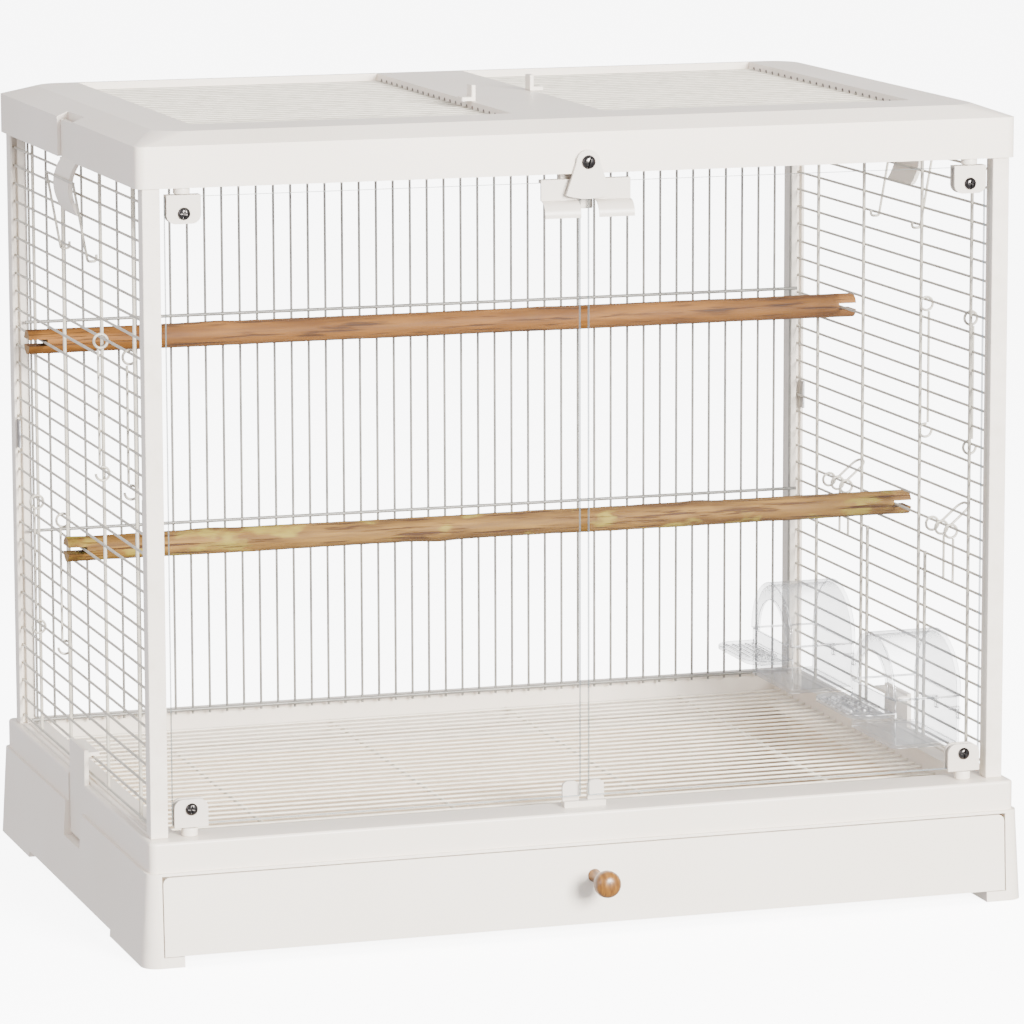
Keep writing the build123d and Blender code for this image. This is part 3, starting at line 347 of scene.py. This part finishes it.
FINISHES = {
    "white_plastic": ({"Specular IOR Level": 0.45, "Subsurface Weight": 0.03},
                      moulded(rgb(0.76, 0.69, 0.60), rgb(0.72, 0.645, 0.55), 0.36)),
    # painted shade: the small fittings' plastic is a darker copy of white_plastic
    "painted_shade_fitting_plastic": ({"Specular IOR Level": 0.45},
                        moulded(rgb(0.63, 0.575, 0.505), rgb(0.58, 0.525, 0.455), 0.33)),
    "tray_plastic": ({"Specular IOR Level": 0.4},
                     moulded(rgb(0.72, 0.59, 0.43), rgb(0.67, 0.54, 0.385), 0.42)),
    "white_enamel": ({"Specular IOR Level": 0.5, "Coat Roughness": 0.2},
                     coated(rgb(0.73, 0.665, 0.58), rgb(0.67, 0.605, 0.52), 0.3)),
    # The wires' own cream is pale_wire's. wire is a darker copy of it, as painted shade, and the back
    # grille's finish below is darker still, as painted shade for the back wires in the lid's shadow
    "wire": ({"Specular IOR Level": 0.5},
             coated(rgb(0.46, 0.425, 0.35), rgb(0.35, 0.32, 0.26), 0.34)),
    "pale_wire": ({"Specular IOR Level": 0.5},
                  coated(rgb(0.7, 0.64, 0.53), rgb(0.6, 0.545, 0.44), 0.34)),
    "painted_shade_back_wire": ({"Specular IOR Level": 0.5},
                  coated(rgb(0.19, 0.18, 0.157), rgb(0.135, 0.129, 0.112), 0.36)),
    "glass": ({"Specular IOR Level": 0.6, "IOR": 1.5}, pane),
    "clear_plastic": ({"Specular IOR Level": 0.7, "IOR": 1.55}, clear_moulding),
    "clear_edge_painted_glints": ({"Specular IOR Level": 0.8, "IOR": 1.55}, clear_edge_painted_glints),
    "wood_smooth": ({"Specular IOR Level": 0.16},
                    branch_wood(pale=rgb(0.19, 0.079, 0.014), dark=rgb(0.09, 0.033, 0.006),
                                patch=rgb(0.14, 0.064, 0.013), patch_low=0.64, relief=0.4)),
    "wood_bark": ({"Specular IOR Level": 0.14},
                  branch_wood(pale=rgb(0.21, 0.112, 0.024), dark=rgb(0.07, 0.031, 0.007),
                              patch=rgb(0.25, 0.195, 0.028), patch_low=0.55, relief=0.7)),
    "knob_wood": ({"Coat Roughness": 0.25, "Coat Weight": 0.12}, turned_wood),
    "steel": ({"Metallic": 1.0},
              metal(rgb(0.3, 0.3, 0.31), rgb(0.17, 0.165, 0.16), 0.28, (900.0, 60.0, 900.0))),
    # painted shade: a darker copy of steel, so the screw heads and their recesses look shaded
    "painted_shade_screw_steel": ({"Metallic": 1.0},
                    metal(rgb(0.075, 0.07, 0.068), rgb(0.025, 0.022, 0.02), 0.2, (900.0, 60.0, 900.0))),
    "spring_steel": ({"Metallic": 1.0},
                     metal(rgb(0.42, 0.42, 0.43), rgb(0.28, 0.28, 0.28), 0.34, (60.0, 60.0, 900.0))),
    # painted shade: the dark inside the lid's wire sockets
    "painted_shade_hole": ({"Specular IOR Level": 0.2},
                  moulded(rgb(0.1, 0.09, 0.08), rgb(0.16, 0.145, 0.13), 0.7)),
}
MATERIALS = {name: new_material(name, *finish) for name, finish in FINISHES.items()}

# Nodes whose colour differs from the rest of their slot. The fittings' darker plastic and the back
# wires' darker enamel are painted shade; the floor grille has the wires' own paler cream, and the
# drawer tray a warmer plastic
OWN_FINISHES = {
    "turn_latch": "painted_shade_fitting_plastic",
    "latch_stop_block": "painted_shade_fitting_plastic",
    "door_stop": "painted_shade_fitting_plastic",
    "handle_left": "painted_shade_fitting_plastic",
    "handle_right": "painted_shade_fitting_plastic",
    "hinge_clamps_left": "painted_shade_fitting_plastic",
    "hinge_clamps_right": "painted_shade_fitting_plastic",
    "drawer_tray": "tray_plastic",
    "back_grille": "painted_shade_back_wire",
    "floor_grille": "pale_wire",
}


def soften_edges(node, slot):
    """Rounds a node's sharp edges, as its mould or press leaves them."""
    weld = node.modifiers.new("weld", "WELD")
    weld.merge_threshold = SEAM_GAP
    bevel = node.modifiers.new("edges", "BEVEL")
    bevel.width = EDGE_WIDTHS[slot]
    bevel.segments = EDGE_SEGMENTS
    bevel.limit_method = "ANGLE"
    bevel.angle_limit = EDGE_ANGLE
    if slot == "clear_plastic":
        # The clear plastic's rounded edges get painted reflection and painted highlights
        node.data.materials.append(MATERIALS["clear_edge_painted_glints"])
        bevel.material = 1
        bevel.use_clamp_overlap = False
    even = node.modifiers.new("even", "WEIGHTED_NORMAL")
    even.keep_sharp = True


def dress_cad_nodes():
    """Gives each CAD node its material, and softens the edges of moulded and pressed ones."""
    for row in frame["record"]["subparts"]:
        name = row["node"]
        slot = row["material_slot"]
        node = frame["nodes"][name]
        node.data.materials.clear()
        node.data.materials.append(MATERIALS[OWN_FINISHES.get(name, slot)])
        if slot in EDGE_WIDTHS and name not in CRISP_NODES:
            soften_edges(node, slot)


def add_piece(name, mesh, slot, body, stands_for=(), material=None):
    """A new piece whose mesh is already in the frame's own coordinates."""
    made = bpy.data.objects.new(name, mesh)
    bpy.context.scene.collection.objects.link(made)
    made.data.materials.clear()
    made.data.materials.append(material or MATERIALS[slot])
    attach(made, body)
    if stands_for:
        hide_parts(*stands_for)


def lathe(bm, outline, centre, toward, sides=40):
    """Turns (radius, height) points about an axis through centre."""
    turn = Vector((0, 0, 1)).rotation_difference(Vector(toward)).to_matrix()
    rings = []
    for radius, height in outline:
        ring = []
        count = sides if radius > 0 else 1
        for i in range(count):
            angle = 2 * math.pi * i / sides
            local = Vector((radius * math.cos(angle), radius * math.sin(angle), height))
            ring.append(bm.verts.new(Vector(centre) + turn @ local))
        rings.append(ring)
    for low, high in zip(rings, rings[1:]):
        for i in range(sides):
            j = (i + 1) % sides
            corners = [low[i % len(low)], low[j % len(low)], high[j % len(high)], high[i % len(high)]]
            unique = list(dict.fromkeys(corners))
            if len(unique) > 2:
                bm.faces.new(unique)


def add_block(bm, place, size):
    """A block of the given size, centred on a place and turned as it is."""
    bmesh.ops.create_cube(bm, size=1.0, matrix=place @ Matrix.Diagonal((*size, 1.0)))


def finished(bm, name):
    """A mesh of what bm holds, with its faces turned outward."""
    bmesh.ops.recalc_face_normals(bm, faces=bm.faces)
    mesh = bpy.data.meshes.new(name)
    bm.to_mesh(mesh)
    bm.free()
    return mesh


def carved(mesh, cutter, name):
    """The mesh with the cutter's volume taken out."""
    body = bpy.data.objects.new(name + ".body", mesh)
    tool = bpy.data.objects.new(name + ".tool", cutter)
    for each in (body, tool):
        bpy.context.scene.collection.objects.link(each)
    change = body.modifiers.new("cut", "BOOLEAN")
    change.operation = "DIFFERENCE"
    change.solver = "EXACT"
    change.object = tool
    bpy.context.view_layer.update()
    result = bpy.data.meshes.new_from_object(body.evaluated_get(bpy.context.evaluated_depsgraph_get()))
    bpy.data.objects.remove(body)
    bpy.data.objects.remove(tool)
    result.name = name
    return result


def shade_smooth(mesh, degrees):
    """Smooth shading, with edges kept sharp where faces turn by more than the angle."""
    mesh.polygons.foreach_set("use_smooth", [True] * len(mesh.polygons))
    mesh.set_sharp_from_angle(angle=math.radians(degrees))


def swell(x, across, scales, seed):
    """Smooth noise on a branch, from about -1 to 1."""
    along, around = scales
    return noise.noise(Vector((x * along + seed, across.y * around, across.z * around)))


def branch_radius(x, angle, across, rod, roughness, knots, seed):
    """The branch's radius at a place along it and round it. A knot is (x, turn, rise)."""
    slow = swell(x, across, SLOW_SWELL, seed)
    quick = swell(x, across, QUICK_SWELL, seed)
    radius = rod * (BRANCH_SHARE + roughness * (SLOW_SHARE * slow + (1 - SLOW_SHARE) * quick))
    for knot_x, turn, rise in knots:
        gap = Vector(((x - knot_x) / KNOT_LENGTH, (angle - turn) / KNOT_TURN))
        radius += rise * math.exp(-gap.length_squared)
    return min(radius, rod + KNOT_STAND)


def make_perch(node, slot, roughness, knots, seed):
    """A branch in the place of a plain CAD rod, with slots that straddle the side wires.

    A knot is (share of the length, turn in radians, rise in metres).
    """
    low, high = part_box(node)
    centre = (low + high) / 2
    length = high.x - low.x
    rod = (high.z - low.z) / 2
    placed = [(low.x + share * length, turn, rise) for share, turn, rise in knots]
    bm = bmesh.new()
    rings = []
    for i in range(BRANCH_RINGS + 1):
        x = low.x + length * i / BRANCH_RINGS
        ring = []
        for j in range(BRANCH_SIDES):
            angle = 2 * math.pi * j / BRANCH_SIDES
            across = Vector((0, math.cos(angle), math.sin(angle)))
            radius = branch_radius(x, angle, across, rod, roughness, placed, seed)
            ring.append(bm.verts.new(Vector((x, centre.y, centre.z)) + across * radius))
        rings.append(ring)
    for near, far in zip(rings, rings[1:]):
        for j in range(BRANCH_SIDES):
            k = (j + 1) % BRANCH_SIDES
            bm.faces.new((near[j], near[k], far[k], far[j]))
    bm.faces.new(rings[0])
    bm.faces.new(rings[-1])
    branch = finished(bm, node + "_rod")
    bm = bmesh.new()
    for end, inward in ((low.x, 1), (high.x, -1)):
        middle_x = end + inward * (SLOT_DEPTH - SLOT_OVERRUN) / 2
        place = Matrix.Translation((middle_x, centre.y, centre.z))
        add_block(bm, place, (SLOT_DEPTH + SLOT_OVERRUN, 2 * SLOT_REACH, SLOT_HEIGHT))
    mesh = carved(branch, finished(bm, node + "_slots"), node + "_branch")
    shade_smooth(mesh, degrees=40)
    add_piece(node + "_branch", mesh, slot, "root", (node,))


def screw_mesh(name, places, radius, height, reach, turns):
    """Pan heads that look toward the front. Two cut bars make a cross, one makes a slot."""
    outline = [(radius * across, height * up) for across, up in HEAD_SHARES]
    heads = bmesh.new()
    for place in places:
        lathe(heads, outline, place, (0, -1, 0))
    mesh = finished(heads, name + "_heads")
    bar = (2 * reach * radius, BAR_DEPTH_SHARE * height, BAR_WIDTH_SHARE * radius)
    for turn in turns:
        bars = bmesh.new()
        for place in places:
            centre = place - Vector((0, height * BAR_CENTRE_SHARE, 0))
            add_block(bars, Matrix.Translation(centre) @ Matrix.Rotation(turn, 4, "Y"), bar)
        mesh = carved(mesh, finished(bars, name + "_bars"), name)
    shade_smooth(mesh, degrees=32)
    return mesh


def solids_of(node):
    """Boxes of a CAD node's separate solids, found from the mesh's joined faces."""
    bm = bmesh.new()
    bm.from_mesh(frame["nodes"][node].data)
    bmesh.ops.remove_doubles(bm, verts=bm.verts, dist=SOLID_GAP)
    left, found = set(bm.verts), []
    while left:
        group, edge = set(), [left.pop()]
        while edge:
            vert = edge.pop()
            group.add(vert)
            for link in vert.link_edges:
                other = link.other_vert(vert)
                if other in left:
                    left.discard(other)
                    edge.append(other)
        points = [v.co for v in group]
        found.append((Vector(map(min, *points)), Vector(map(max, *points))))
    bm.free()
    return sorted(found, key=lambda pair: tuple(pair[0]))


def head_seat(box, height):
    """The middle of a front-facing screw head's underside, from the screw's box."""
    low, high = box
    return Vector(((low.x + high.x) / 2, low.y + height, (low.z + high.z) / 2))


def make_screws():
    """Cross-head screws in the hinge clamps, and the slotted one that the turn latch pivots on."""
    # The heads take the darker steel, as painted shade
    dark = MATERIALS["painted_shade_screw_steel"]
    for side in ("left", "right"):
        node = "hinge_screws_" + side
        places = [head_seat(box, HINGE_HEAD["height"]) for box in solids_of(node)]
        mesh = screw_mesh(node + "_cross", places, **HINGE_HEAD)
        add_piece(node + "_cross", mesh, "steel", "door_" + side, (node,), dark)
    place = head_seat(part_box("latch_screw"), LATCH_HEAD["height"])
    mesh = screw_mesh("latch_screw_slotted", [place], **LATCH_HEAD)
    add_piece("latch_screw_slotted", mesh, "steel", "root", ("latch_screw",), dark)


def make_rim_tracks():
    """The pairs of low ridges on the base's rim that the side panels stand between."""
    ends = (post_high.y + RIDGE_END_GAP, rear_low.y - RIDGE_END_GAP)
    for side, name in ((-1, "left"), (1, "right")):
        bm = bmesh.new()
        for offset in RIDGE_OFFSETS:
            x = MIDDLE_X + side * (SIDE_WIRES + offset)
            near, far = [[bm.verts.new((x + dx, y, BASE_TOP + dz)) for dx, dz in RIDGE_OUTLINE]
                         for y in ends]
            for i in range(len(RIDGE_OUTLINE) - 1):
                bm.faces.new((near[i], near[i + 1], far[i + 1], far[i]))
            bm.faces.new(near)
            bm.faces.new(far)
            bm.faces.new((near[0], near[-1], far[-1], far[0]))
        add_piece("rim_track_" + name, finished(bm, "rim_track_" + name), "white_plastic", "root")


def make_wire_sockets():
    """Sockets in the lid where the top grilles' wires end: thin dark discs, painted shade for the
    holes.
    """
    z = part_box("lid_shell")[1].z - SOCKET_DROP
    for name in ("left", "right"):
        low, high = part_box("top_grille_" + name)
        middle_y = (low.y + high.y) / 2
        count = int((high.y - low.y + 2 * OPENING_EDGE) / WIRE_SPACING)
        bm = bmesh.new()
        for wall_x, inward in ((low.x - OPENING_SLIP, 1), (high.x + OPENING_SLIP, -1)):
            for i in range(count):
                y = middle_y + (i - (count - 1) / 2) * WIRE_SPACING
                lathe(bm, SOCKET_OUTLINE, (wall_x, y, z), (inward, 0, 0), SOCKET_SIDES)
        add_piece("wire_sockets_" + name, finished(bm, "wire_sockets_" + name), "white_plastic", "root",
                  material=MATERIALS["painted_shade_hole"])


def make_floor():
    """A wide pale floor. Its glow gives the white ground, and bounced light doesn't see it."""
    bm = bmesh.new()
    bmesh.ops.create_grid(bm, x_segments=1, y_segments=1, size=FLOOR_SIZE)
    mesh = finished(bm, "floor")
    floor = bpy.data.objects.new("floor", mesh)
    bpy.context.scene.collection.objects.link(floor)
    mesh.materials.append(new_material("floor", {
        "Roughness": 0.95, "Specular IOR Level": 0.0,
        "Emission Color": rgb(1.0, 1.0, 1.0), "Emission Strength": FLOOR_GLOW}, floor_paint))
    floor.visible_diffuse = False
    floor.visible_glossy = False


def make_lights():
    """Soft studio lights and a bright surround."""
    world = bpy.data.worlds.new("studio")
    world.use_nodes = True
    background = world.node_tree.nodes["Background"]
    background.inputs["Color"].default_value = SURROUND_COLOUR
    background.inputs["Strength"].default_value = SURROUND_STRENGTH
    bpy.context.scene.world = world
    for name, (place, size, watts, colour) in LAMPS.items():
        data = bpy.data.lights.new(name, "AREA")
        data.size = size
        data.energy = watts
        data.color = colour
        lamp = bpy.data.objects.new(name, data)
        lamp.location = place
        lamp.rotation_mode = "QUATERNION"
        lamp.rotation_quaternion = (LAMP_TARGET - Vector(place)).to_track_quat("-Z", "Y")
        bpy.context.scene.collection.objects.link(lamp)


def make_camera():
    """The camera with the place, turns and field of view fitted to the photo."""
    level = math.cos(CAMERA_PITCH)
    ahead = Vector((math.sin(CAMERA_YAW) * level, math.cos(CAMERA_YAW) * level, math.sin(CAMERA_PITCH)))
    right = Vector((math.cos(CAMERA_YAW), -math.sin(CAMERA_YAW), 0))
    up = right.cross(ahead)
    rolled_right = right * math.cos(CAMERA_ROLL) + up * math.sin(CAMERA_ROLL)
    rolled_up = up * math.cos(CAMERA_ROLL) - right * math.sin(CAMERA_ROLL)
    data = bpy.data.cameras.new("photo_camera")
    data.sensor_width = SENSOR_MM
    data.lens = FOCAL_PIXELS * SENSOR_MM / PHOTO_PIXELS
    camera = bpy.data.objects.new("photo_camera", data)
    matrix = Matrix((rolled_right, rolled_up, -ahead)).transposed().to_4x4()
    matrix.translation = Vector((MIDDLE_X, FRONT_Y, BASE_TOP)) + CAMERA_PLACE
    camera.matrix_world = matrix
    bpy.context.scene.collection.objects.link(camera)
    bpy.context.scene.camera = camera


dress_cad_nodes()
make_perch("perch_upper", "wood_smooth", roughness=0.035, seed=3.0,
           knots=[(0.22, 1.2, 0.0007), (0.61, 2.6, 0.0006)])
make_perch("perch_lower", "wood_bark", roughness=0.075, seed=11.0,
           knots=[(0.16, 1.9, 0.0012), (0.43, 4.2, 0.0011), (0.74, 2.2, 0.0013)])
make_screws()
make_rim_tracks()
make_wire_sockets()
make_floor()
make_lights()
make_camera()
